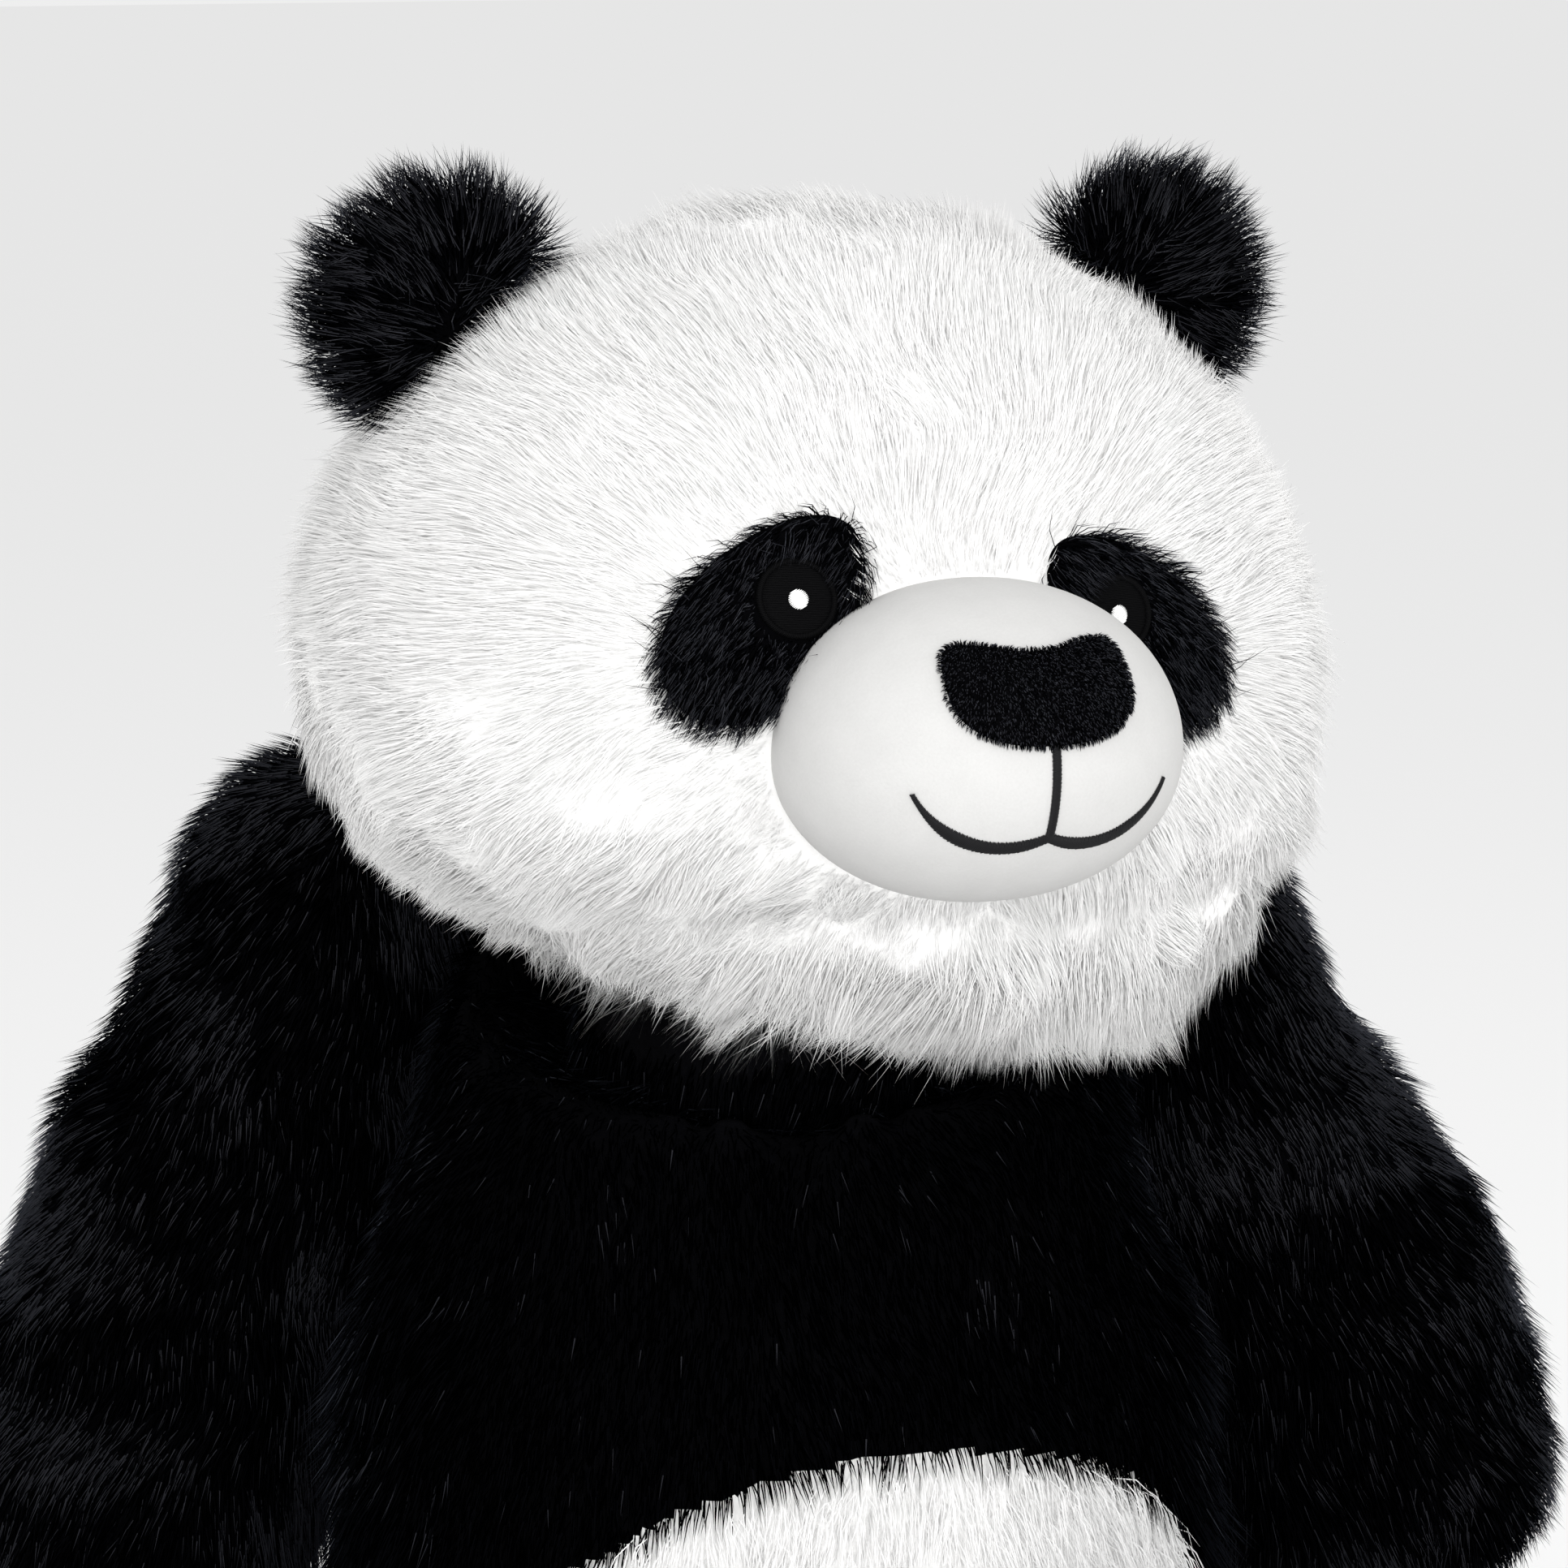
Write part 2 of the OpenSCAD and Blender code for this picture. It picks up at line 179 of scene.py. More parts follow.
def points_of(mesh):
    out = np.empty(len(mesh.vertices) * 3, np.float32)
    mesh.vertices.foreach_get("co", out)
    return out.reshape(-1, 3).astype(float)


def normals_of(mesh):
    out = np.empty(len(mesh.vertices) * 3, np.float32)
    mesh.vertex_normals.foreach_get("vector", out)
    return out.reshape(-1, 3).astype(float)


def triangles_of(mesh):
    mesh.calc_loop_triangles()
    out = np.empty(len(mesh.loop_triangles) * 3, np.int32)
    mesh.loop_triangles.foreach_get("vertices", out)
    return out.reshape(-1, 3)


def set_points(mesh, points):
    mesh.vertices.foreach_set("co", np.asarray(points, np.float32).ravel())
    mesh.update()


def baked(obj):
    """Replaces an object's mesh with what its modifiers make of it."""
    graph = bpy.context.evaluated_depsgraph_get()
    mesh = bpy.data.meshes.new_from_object(obj.evaluated_get(graph), depsgraph=graph)
    obj.modifiers.clear()
    obj.data = mesh
    return obj


def bvh_of(obj):
    return BVHTree.FromPolygons([tuple(v) for v in points_of(obj.data)], triangles_of(obj.data).tolist())


# ---------------------------------------------------------------- materials
SHEEN_ROUGHNESS = 0.4


def material(name, color, rough, sheen=0.0, tint=(1, 1, 1), specular=0.3):
    """A finish whose numbers are the same all over, set on the shader itself."""
    mat = bpy.data.materials.new(name)
    mat.use_nodes = True
    shader = mat.node_tree.nodes["Principled BSDF"]
    shader.inputs["Base Color"].default_value = (*color, 1)
    shader.inputs["Roughness"].default_value = rough
    shader.inputs["Sheen Weight"].default_value = sheen
    shader.inputs["Sheen Roughness"].default_value = SHEEN_ROUGHNESS
    shader.inputs["Sheen Tint"].default_value = (*tint, 1)
    shader.inputs["Specular IOR Level"].default_value = specular
    return mat


BROAD_NOISE = 14  # a ground's slow change of shade is this many times coarser than its grain


def cloth_material(name, dark, light, scale, bump, **finish):
    """A woven or napped ground: two shades mixed by fine and broad noise, and the fine noise as bump."""
    mat = material(name, dark, **finish)
    tree = mat.node_tree
    shader = tree.nodes["Principled BSDF"]
    place = tree.nodes.new("ShaderNodeTexCoord")
    fine = tree.nodes.new("ShaderNodeTexNoise")
    fine.inputs["Scale"].default_value = scale
    fine.inputs["Detail"].default_value = 4
    broad = tree.nodes.new("ShaderNodeTexNoise")
    broad.inputs["Scale"].default_value = scale / BROAD_NOISE
    add = tree.nodes.new("ShaderNodeMath")
    add.operation = "ADD"
    ramp = tree.nodes.new("ShaderNodeValToRGB")
    ramp.color_ramp.elements[0].position = 0.35
    ramp.color_ramp.elements[0].color = (*dark, 1)
    ramp.color_ramp.elements[1].position = 0.65
    ramp.color_ramp.elements[1].color = (*light, 1)
    half = tree.nodes.new("ShaderNodeMath")
    half.operation = "MULTIPLY"
    half.inputs[1].default_value = 0.5
    lift = tree.nodes.new("ShaderNodeBump")
    lift.inputs["Distance"].default_value = bump
    lift.inputs["Strength"].default_value = 0.6
    tree.links.new(place.outputs["Object"], fine.inputs["Vector"])
    tree.links.new(place.outputs["Object"], broad.inputs["Vector"])
    tree.links.new(fine.outputs["Fac"], add.inputs[0])
    tree.links.new(broad.outputs["Fac"], add.inputs[1])
    tree.links.new(add.outputs[0], half.inputs[0])
    tree.links.new(half.outputs[0], ramp.inputs["Fac"])
    tree.links.new(ramp.outputs["Color"], shader.inputs["Base Color"])
    tree.links.new(fine.outputs["Fac"], lift.inputs["Height"])
    tree.links.new(lift.outputs["Normal"], shader.inputs["Normal"])
    return mat


COOL = (0.6, 0.68, 0.9)
WHITE_GROUND = cloth_material("white_pile_ground", (0.84, 0.836, 0.827), (0.87, 0.866, 0.857), 420, 0.0006,
                              rough=0.95, specular=0.1)
BLACK_GROUND = cloth_material("black_pile_ground", (0.0006, 0.0006, 0.0008), (0.0015, 0.0015, 0.002),
                              420, 0.001, rough=0.95, specular=0.02)
VELBOA = cloth_material("white_velboa", (0.51, 0.507, 0.50), (0.54, 0.537, 0.53), 1400, 0.00012,
                        rough=0.95, specular=0.1)
MINKY = cloth_material("black_minky", (0.001, 0.001, 0.0013), (0.002, 0.002, 0.0026), 900, 0.0003,
                       rough=0.9, specular=0.03)
WHITE_PILE = [material(f"white_pile_{i}", (v, v * 0.996, v * 0.988), rough=0.95, specular=0.1)
              for i, v in enumerate((0.83, 0.84, 0.85, 0.86))]
# each black shade is (value, sheen, specular); the last and lightest value is painted sheen, on top of the real
# sheen and specular of its shader
BLACK_PILE = [material(f"black_pile_{i}", (v, v * 1.05, v * 1.4), rough=0.6, sheen=h, tint=COOL, specular=g)
              for i, (v, h, g) in enumerate(((0.0001, 0.0, 0.0), (0.0002, 0.003, 0.0), (0.0014, 0.02, 0.0),
                                             (0.010, 0.09, 0.12)))]
# the lightest shade here is painted sheen too: a lighter colour standing in for light caught by the strands,
# besides the shader's real sheen
SHEEN_PAINTED_PILE = BLACK_PILE[1:] + [material("black_pile_painted_sheen", (0.02, 0.021, 0.027), rough=0.5, sheen=0.14,
                                           tint=COOL, specular=0.2)]
BLACK_THREAD = material("black_thread", (0.004, 0.004, 0.005), rough=0.5, specular=0.22)
IRIS_THREAD = material("iris_thread", (0.0012, 0.0012, 0.0015), rough=0.7, specular=0.06)
WHITE_THREAD = material("white_thread", (0.9, 0.9, 0.89), rough=0.5, specular=0.4)
LABEL_TAPE = cloth_material("label_tape", (0.80, 0.80, 0.78), (0.88, 0.88, 0.86), 1800, 0.0001, rough=0.5)


# ---------------------------------------------------------------- stuffed skins
VOXEL = 5 * MM
PRESSURE = 4
FRAMES = 20
FULL_MOVE, SMALL_MOVE = 0.0045, 0.003  # how far the filling may push the large and the small pieces


def remeshed(name, node, voxel, smooth):
    """A copy of a stuffing solid with even faces, which are a cover's thickness inside the finished skin."""
    obj = link(name, frame["nodes"][node].data.copy())
    obj.data.materials.clear()
    set_points(obj.data, node_points(node))
    mod = obj.modifiers.new("remesh", "REMESH")
    mod.mode = "VOXEL"
    mod.voxel_size = voxel
    mod = obj.modifiers.new("smooth", "SMOOTH")
    mod.factor = 0.5
    mod.iterations = smooth
    return baked(obj)


def stuff(pads):
    """Fills the pads by cloth simulation. pads holds (object, seam weights, how far a point may move)."""
    rest = [points_of(obj.data) for obj, _, _ in pads]
    for obj, held, _ in pads:
        group = obj.vertex_groups.new(name="seams")
        for i in np.flatnonzero(held > 0.02):
            group.add([int(i)], float(held[i]), "REPLACE")
        mod = obj.modifiers.new("cloth", "CLOTH")
        mod.settings.use_pressure = True
        mod.settings.uniform_pressure_force = PRESSURE
        mod.settings.effector_weights.gravity = 0
        mod.settings.vertex_group_mass = "seams"
        mod.point_cache.frame_start, mod.point_cache.frame_end = 1, FRAMES
    for step in range(1, FRAMES + 1):
        bpy.context.scene.frame_set(step)
    graph = bpy.context.evaluated_depsgraph_get()
    for (obj, _, cap), start in zip(pads, rest):
        move = points_of(obj.evaluated_get(graph).data) - start
        far = np.linalg.norm(move, axis=1, keepdims=True)
        obj.modifiers.clear()
        obj.vertex_groups.clear()
        set_points(obj.data, start + move * np.minimum(1, cap / np.maximum(far, 1e-9)))
    bpy.context.scene.frame_set(1)


def finish_skin(obj, shape=None):
    """Seams, hollows and lumps, which are finer than the simulated cloth, and one subdivision."""
    mod = obj.modifiers.new("round", "SUBSURF")
    mod.levels = 1
    baked(obj)
    if shape:
        set_points(obj.data, shape(points_of(obj.data), normals_of(obj.data)))
    obj.data.polygons.foreach_set("use_smooth", np.ones(len(obj.data.polygons), bool))


def groove(distance, depth, width):
    """How far a seam pulls the skin in at a distance from it."""
    return depth * np.exp(-(distance / width) ** 2)


JOWL_WAY, JOWL_FULL, JOWL_SPREAD = np.array([0.80, -0.30, -0.52]), 0.010, 0.38
CROWN_RISE = 0.008
CHIN_RISE, CHIN_SAG = 0.018, 0.007


def head_form(p):
    """The raised right shoulder pushes that side of the chin up, and the left side is full and sags."""
    q = p - HEAD
    low = smoothstep(-q[:, 2], 0.02, 0.10)
    right_side = smoothstep(-q[:, 0], -0.03, 0.07)
    left_side = smoothstep(q[:, 0], 0.0, 0.07)
    crown = CROWN_RISE * smoothstep(q[:, 2], 0.02, 0.11) * smoothstep(np.abs(q[:, 0]), 0.11, 0.0)
    jowl = np.linalg.norm(unit(q) - JOWL_WAY, axis=1)
    p = p + unit(q) * (JOWL_FULL * np.exp(-(jowl / JOWL_SPREAD) ** 2))[:, None]
    return p + UP * (crown + low * (CHIN_RISE * right_side - CHIN_SAG * left_side))[:, None]


def head_shape(p, n):
    """Full low cheeks, a chin, and the pull of the seams."""
    q = p - HEAD
    front = smoothstep(-q[:, 1], 0, HEAD_R * 0.7)
    cheek = np.exp(-(((np.abs(q[:, 0]) - 0.085) / 0.04) ** 2 + ((q[:, 2] + 0.03) / 0.035) ** 2)) * front
    chin = np.exp(-((q[:, 0] / 0.05) ** 2 + ((q[:, 2] + 0.085) / 0.03) ** 2)) * front
    p = p + n * (0.005 * cheek + 0.005 * chin)[:, None]
    seam = groove(p[:, 1] - FACE_SEAM, 0.0025, 0.007) + groove(p[:, 2] - CHIN_SEAM, 0.003, 0.007) * front
    rough = 0.0006 + 0.0012 * smoothstep(-q[:, 2], -0.02, 0.05)
    lumps = noise(p, 0.05, 5) * 0.0016 + noise(p, 0.022, 9) * rough
    return p + n * (lumps - seam)[:, None]


def torso_shape(p, n):
    """Side seams, and soft lumps that fade out at the flat base."""
    q = p - AXIS
    seam = groove(q[:, 1], 0.003, 0.008) * smoothstep(q[:, 2], 0.01, 0.04)
    lumps = noise(p, 0.06, 15) * 0.004 + noise(p, 0.025, 19) * 0.0012
    lumps *= smoothstep(q[:, 2], 0.0, 0.05)
    p = p + n * (lumps - seam)[:, None]
    p[:, 2] = np.maximum(p[:, 2], FLOOR_GAP)
    return p


def limb_shape(p, n):
    """Soft dents and folds."""
    lumps = 0.002 + noise(p, 0.05, 25) * 0.004 + noise(p, 0.02, 29) * 0.0012
    p = p + n * lumps[:, None]
    p[:, 2] = np.maximum(p[:, 2], FLOOR_GAP)
    return p


def arm_form(p, n, sign):
    """One shoulder sits higher than the other, and both paws stand off with full inner sides."""
    low = smoothstep(p[:, 2], 0.345, 0.27)
    high = smoothstep(p[:, 2], 0.24, 0.36)
    fuller = 0.015 * low * smoothstep(-n[:, 0] * sign, 0, 0.8)
    move = np.zeros_like(p)
    if sign < 0:
        move[:, 0] = fuller - 0.002 - 0.007 * low
        move[:, 2] = 0.008 * high
    else:
        move[:, 0] = 0.008 * low - 0.003 * high - fuller
        move[:, 2] = -0.006 * high
    return p + move


def seam_weights(distance):
    """How firmly a seam holds points at a distance from it, from 0 to 1."""
    return 1 - smoothstep(np.abs(distance), 0.002, 0.007)


def base_weights(p):
    """How firmly the flat base on the floor holds points, from 0 to 1."""
    return 1 - smoothstep(p[:, 2], 0.004, 0.012)


# how much larger each ear is than its stuffing, and how far it moves
EAR_FORM = {"left": (1.05, np.array([0.0, 0, -0.0040])), "right": (1.11, np.array([0.0050, 0, -0.0045]))}
skins, pads = {}, []
for name, voxel, smooth in (("head", VOXEL, 5), ("torso", VOXEL, 5),
                            ("neck", 6 * MM, 2), ("tail", 4 * MM, 3)):
    skins[name] = remeshed(name + "_skin", name + "_stuffing", voxel, smooth)
for side in SIDES:
    skins["arm_" + side] = remeshed("arm_skin_" + side, "arm_stuffing_" + side, VOXEL, 5)
    skins["leg_" + side] = remeshed("leg_skin_" + side, "leg_stuffing_" + side, VOXEL, 5)
    skins["ear_" + side] = remeshed("ear_skin_" + side, "ear_stuffing_" + side, 2.5 * MM, 3)
set_points(skins["head"].data, head_form(points_of(skins["head"].data)))
for side, sign in SIDES.items():
    arm = skins["arm_" + side].data
    set_points(arm, arm_form(points_of(arm), normals_of(arm), sign))
    ear = skins["ear_" + side].data
    hinge = joint_at("ear_fold_" + side)
    larger, lower = EAR_FORM[side]
    set_points(ear, hinge + lower + (points_of(ear) - hinge) * larger)
for name, obj in skins.items():
    p = points_of(obj.data)
    cap = FULL_MOVE
    if name == "head":
        held = seam_weights(p[:, 1] - FACE_SEAM)
    elif name == "torso":
        held = np.maximum(seam_weights(p[:, 1] - AXIS[1]), base_weights(p))
    elif name.startswith("arm"):
        held = seam_weights(p[:, 1] - p.mean(0)[1])
    elif name.startswith("leg"):
        held = base_weights(p)
    elif name.startswith("ear"):
        from_hinge = np.linalg.norm(p - joint_at("ear_fold_" + name[4:]), axis=1)
        held, cap = 1 - smoothstep(from_hinge, 0.012, 0.024), SMALL_MOVE
    else:
        held, cap = np.zeros(len(p)), SMALL_MOVE
    pads.append((obj, held, cap))
stuff(pads)
SHAPES = {"head": head_shape, "torso": torso_shape, "arm": limb_shape, "leg": limb_shape}
for name, obj in skins.items():
    finish_skin(obj, SHAPES.get(name.split("_")[0]))


def oval_skin(name, middle, half_w, half_d, half_h, power, rings=48, around=96):
    """A rounded form about the X axis, as a grid of quads."""
    t = np.linspace(-math.pi / 2, math.pi / 2, rings + 1)[1:-1]
    a = np.linspace(0, 2 * math.pi, around, endpoint=False)
    x = half_w * np.sign(np.sin(t)) * np.abs(np.sin(t)) ** (2 / power)
    r = np.cos(t) ** (2 / power)
    grid = np.stack([np.repeat(x[:, None], around, 1), half_d * r[:, None] * np.cos(a),
                     half_h * r[:, None] * np.sin(a)], -1)
    points = np.concatenate([grid.reshape(-1, 3), [[-half_w, 0, 0], [half_w, 0, 0]]]) + middle
    i = np.arange(rings - 2)[:, None] * around
    j = np.arange(around)[None]
    k = (j + 1) % around
    quads = np.stack([i + j, i + around + j, i + around + k, i + k], -1).reshape(-1, 4)[:, ::-1]
    last = (rings - 2) * around
    low = np.stack([np.full(around, last + around), j[0], k[0]], -1)[:, ::-1]
    high = np.stack([np.full(around, last + around + 1), last + j[0], last + k[0]], -1)
    return link(name, mesh_of(name, points, [quads, low, high]))


MUZZLE_UNDER = 0.9  # the muzzle's lower half is flatter than its upper half
muzzle_skin = oval_skin("muzzle_skin", MUZZLE, MUZZLE_W, MUZZLE_DEEP, MUZZLE_R, 2.1)
muzzle_skin.data.materials.append(VELBOA)
sag = points_of(muzzle_skin.data)
sag[:, 2] = MUZZLE[2] + np.where(sag[:, 2] < MUZZLE[2], MUZZLE_UNDER, 1.0) * (sag[:, 2] - MUZZLE[2])
set_points(muzzle_skin.data, sag)
head_bvh = bvh_of(skins["head"])
muzzle_bvh = bvh_of(muzzle_skin)


def drape(x, z, tree):
    """Points of a flat drawing carried back along Y onto a skin, and the skin's normals there."""
    shape = np.shape(x)
    points, normals = [], []
    for px, pz in zip(np.ravel(x), np.ravel(z)):
        hit, normal, _, _ = tree.ray_cast(Vector((px, -1.0, pz)), Vector((0, 1, 0)))
        if hit is None:
            hit, normal, _, _ = tree.find_nearest(Vector((px, -0.3, pz)))
        points.append(hit)
        normals.append(normal if normal.y < 0 else -normal)
    return np.array(points).reshape(*shape, 3), np.array(normals).reshape(*shape, 3)


def raised(name, middle, outline, tree, height, mat, edge, rings=22):
    """A patch that lies on a skin. outline holds its x and z about the middle, and a high edge is square."""
    s = (np.arange(rings + 1) / rings) ** 0.7
    x = middle[0] + s[:, None] * outline[None, :, 0]
    z = middle[1] + s[:, None] * outline[None, :, 1]
    points, normals = drape(x[1:], z[1:], tree)
    top, up = drape(np.array([middle[0]]), np.array([middle[1]]), tree)
    lift = height * np.sqrt(np.maximum(0, 1 - s[1:] ** edge)) - 0.0003 * (s[1:] > 0.999)
    points = points + normals * lift[:, None, None]
    around = len(outline)
    points = np.concatenate([points.reshape(-1, 3), top + up * height])
    i = np.arange(rings - 1)[:, None] * around
    j = np.arange(around)[None]
    k = (j + 1) % around
    quads = np.stack([i + j, i + k, i + around + k, i + around + j], -1).reshape(-1, 4)
    tris = np.stack([np.full(around, len(points) - 1), k[0], j[0]], -1)
    mesh = mesh_of(name, points, [quads, tris])
    if normals_of(mesh)[-1] @ up[0] < 0:
        mesh.flip_normals()
    mesh.materials.append(mat)
    return link(name, mesh)


def threads(name, paths, normals, radius, mat, sides=5):
    """Round threads along paths of the same number of points, as one mesh."""
    count, steps = paths.shape[:2]
    way = unit(np.gradient(paths, axis=1))
    side = unit(np.cross(way, normals))
    top = np.cross(side, way)
    a = 2 * math.pi * np.arange(sides) / sides
    ring = side[:, :, None] * np.cos(a)[:, None] + top[:, :, None] * np.sin(a)[:, None]
    taper = np.ones(steps)
    taper[[0, -1]] = 0.5
    points = paths[:, :, None] + ring * radius * taper[:, None, None]
    base = (np.arange(count)[:, None] * steps + np.arange(steps - 1)[None]).reshape(-1, 1) * sides
    i = np.arange(sides)[None]
    j = (i + 1) % sides
    quads = np.stack([base + i, base + sides + i, base + sides + j, base + j], -1).reshape(-1, 4)
    mesh = mesh_of(name, points.reshape(-1, 3), [quads])
    mesh.materials.append(mat)
    return link(name, mesh)


STITCH_SPACING = 0.00042


def satin(name, x, z, width, tree, mat, height=0.0007, slant=0.25):
    """Satin stitches laid across a drawn line. x, z and width are given at points along it."""
    length = np.concatenate([[0], np.cumsum(np.hypot(np.diff(x), np.diff(z)))])
    at = np.arange(0, length[-1], STITCH_SPACING)
    cx, cz, w = (np.interp(at, length, v) for v in (x, z, width))
    dx, dz = (np.interp(at, length, np.gradient(v, length)) for v in (x, z))
    size = np.hypot(dx, dz)
    dx, dz = dx / size, dz / size
    ax, az = -dz + slant * dx, dx + slant * dz
    t = np.linspace(-1, 1, 7)
    jitter = 1 + 0.08 * np.sin(at * 9000)
    px = cx[:, None] + ax[:, None] * t * (w * jitter / 2)[:, None]
    pz = cz[:, None] + az[:, None] * t * (w * jitter / 2)[:, None]
    points, normals = drape(px, pz, tree)
    lift = height * np.sqrt(1 - 0.96 * t ** 2) - 0.0001
    return threads(name, points + normals * lift[None, :, None], normals, STITCH_SPACING * 0.62, mat)


# ---------------------------------------------------------------- pile
STRANDS_A_PIECE = 21000
ROOT_DEPTH = 0.0006
SHADOW_SHARE = 3  # white fibre lets most of the light through, so one white piece in three casts shadows


def scatter(mesh, density, rng):
    """Random points spread evenly over a mesh, with their normals. density is in points a square cm."""
    points, normals, tris = points_of(mesh), normals_of(mesh), triangles_of(mesh)
    a, b, c = (points[tris[:, i]] for i in range(3))
    area = np.linalg.norm(np.cross(b - a, c - a), axis=1) / 2
    count = int(area.sum() * 1e4 * density)
    steps = (np.arange(count) + rng.random(count)) / count
    which = np.minimum(np.searchsorted(np.cumsum(area) / area.sum(), steps), len(tris) - 1)
    u, v = rng.random(count), rng.random(count)
    flip = u + v > 1
    u[flip], v[flip] = 1 - u[flip], 1 - v[flip]
    w = np.stack([1 - u - v, u, v], -1)[..., None]
    corners = tris[which]
    return (points[corners] * w).sum(1), unit((normals[corners] * w).sum(1))


def strand_piece(name, root, mid, tip, width, normal, shade, mats, soft, roll):
    """Tapered three-sided strands as one mesh, each with a bend at mid."""
    way = unit(tip - root)
    side = unit(np.cross(way, normal))
    flat = np.cross(way, side)
    angle = roll[:, None] + 2 * math.pi * np.arange(3) / 3
    ring = side[:, None] * np.cos(angle)[..., None] + flat[:, None] * np.sin(angle)[..., None]
    low = root[:, None] + ring * (width / 2)[:, None, None]
    high = mid[:, None] + ring * (width * 0.4)[:, None, None]
    points = np.concatenate([low, high, tip[:, None]], axis=1).reshape(-1, 3)
    base = np.arange(len(root))[:, None] * 7
    quads = np.concatenate([base + np.array([[k, (k + 1) % 3, 3 + (k + 1) % 3, 3 + k]]) for k in range(3)])
    tris = np.concatenate([base + np.array([[3 + k, 3 + (k + 1) % 3, 6]]) for k in range(3)])
    mesh = mesh_of(name, points, [quads, tris])
    # the tip of each strand takes the next, lighter shade: painted light caught by the tips
    slots = np.concatenate([np.tile(shade, 3), np.tile(np.minimum(shade + 1, len(mats) - 1), 3)])
    mesh.polygons.foreach_set("material_index", slots.astype(np.int32))
    for mat in mats:
        mesh.materials.append(mat)
    facing = np.concatenate([ring, ring, way[:, None]], axis=1)
    shading = unit(facing * (1 - soft) + normal[:, None] * soft).reshape(-1, 3)
    mesh.normals_split_custom_set_from_vertices(shading.astype(np.float32))
    return link(name, mesh)


def pile(name, skin, body, mats, density, length, flow, lift=0.45, width=0.0004, keep=None, tuft=0.006,
         gather=0.5, stray=0.25, bend=0.5, wave=0.45, soft=0.7, seed=1, painted_sheen_share=0.3):
    """Pile that grows from a skin. length, lift, gather, wave, keep and the share of strands with painted sheen
    may be functions.
    """
    rng = np.random.default_rng(seed)
    root, normal = scatter(skin.data, density, rng)
    if keep is not None:
        kept = keep(root, normal)
        root, normal = root[kept], normal[kept]
    count = len(root)

    def value(v):
        return v(root, normal) if callable(v) else np.full(count, float(v))

    along = value(length) * (1 + 0.17 * rng.standard_normal(count).clip(-2, 2))
    rise = value(lift)
    way = flow(root, normal)
    way = way - normal * (way * normal).sum(1, keepdims=True)
    way = unit(unit(way) + value(wave)[:, None] * wander(root, 0.022, seed + 40))
    start = unit(way * (1 - rise)[:, None] + normal * rise[:, None]
                 + stray * rng.standard_normal((count, 3)) * 0.5)
    droop = unit(way + 0.25 * normal - 0.35 * UP * bend)
    end = unit(start * (1 - bend) + droop * bend)
    mid = root + start * (along * 0.5)[:, None]
    tip = mid + end * (along * 0.5)[:, None]
    # strands lean together into tufts
    leaders = rng.permutation(count)[: max(1, int(count / density / (tuft * 100) ** 2))]
    tree = KDTree(len(leaders))
    for i, k in enumerate(leaders):
        tree.insert(root[k], i)
    tree.balance()
    owner = leaders[np.array([tree.find(p)[1] for p in root])]
    pull = value(gather) * np.clip(0.6 + 0.4 * rng.standard_normal(count), 0.1, 1.0)
    mid += (mid[owner] - root[owner] - (mid - root)) * (pull * 0.4)[:, None]
    mid += (root[owner] - root) * (pull * 0.22)[:, None]
    tip += (tip[owner] - tip) * (pull * 0.75)[:, None]
    wide = width * (0.7 + 0.6 * rng.random(count))
    # the strands picked here take the lightest shades, which are painted sheen
    painted_sheen_strand = rng.random(count) < value(painted_sheen_share)
    shade = np.where(painted_sheen_strand, len(mats) - 2, rng.integers(0, len(mats) - 2, count))
    roll = rng.random(count) * 2
    if body in TURNED_BODIES:
        root, mid, tip, normal = turned(root), turned(mid), turned(tip), normal @ TURN.T
    # black pieces are sectors round the body, and white ones share out the strands of every sector
    sector = np.arctan2(root[:, 0] - root[:, 0].mean(), root[:, 1] - root[:, 1].mean())
    order = np.argsort(sector, kind="stable")
    parts = max(1, math.ceil(count / STRANDS_A_PIECE))
    white = mats is WHITE_PILE
    for i in range(parts):
        part = order[i::parts] if white else np.array_split(order, parts)[i]
        label = f"{name}_{i + 1}" if parts > 1 else name
        obj = strand_piece(label, root[part] - normal[part] * ROOT_DEPTH, mid[part], tip[part], wide[part],
                           normal[part], shade[part], mats, soft, roll[part])
        obj.visible_shadow = not white or i % SHADOW_SHARE == 0
        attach(obj, body)


# ---------------------------------------------------------------- eyes
EYE_SHIFT = {"left": -0.0066, "right": 0.0014}  # the eyes are sewn on at slightly different heights
PATCH_L, PATCH_W, PATCH_TILT = 0.0625, 0.0365, math.radians(46)


def middle_of(node):
    low, high = span(node)
    return (low + high) / 2


PATCH_AT = np.array([0.0490, HEAD[2] + 0.017])
IRIS_AT = middle_of("eye_glint_left")[[0, 2]] - np.array([0.0024, 0])
IRIS_R = (span("eye_iris_left")[1][2] - span("eye_iris_left")[0][2]) / 2
GLINT_R = (span("eye_glint_left")[1][2] - span("eye_glint_left")[0][2]) / 2 * 0.84


def patch_reach(p, side):
    """Signed size of the eye patch at points of the face: 1 on its edge, less inside."""
    sign = SIDES[side]
    x = p[:, 0] * sign - PATCH_AT[0]
    z = p[:, 2] - PATCH_AT[1] - EYE_SHIFT[side]
    u = x * math.cos(PATCH_TILT) + z * math.sin(PATCH_TILT)
    v = -x * math.sin(PATCH_TILT) + z * math.cos(PATCH_TILT)
    reach = np.hypot(u / (PATCH_W / 2 * (1 - 0.28 * v / PATCH_L)), v / (PATCH_L / 2))
    return np.where(p[:, 1] < HEAD[1], reach, 9.0)


def iris_gap(p, side):
    """Distance from the edge of the iris, seen from the front."""
    return np.hypot(p[:, 0] - SIDES[side] * IRIS_AT[0], p[:, 2] - IRIS_AT[1] - EYE_SHIFT[side]) - IRIS_R


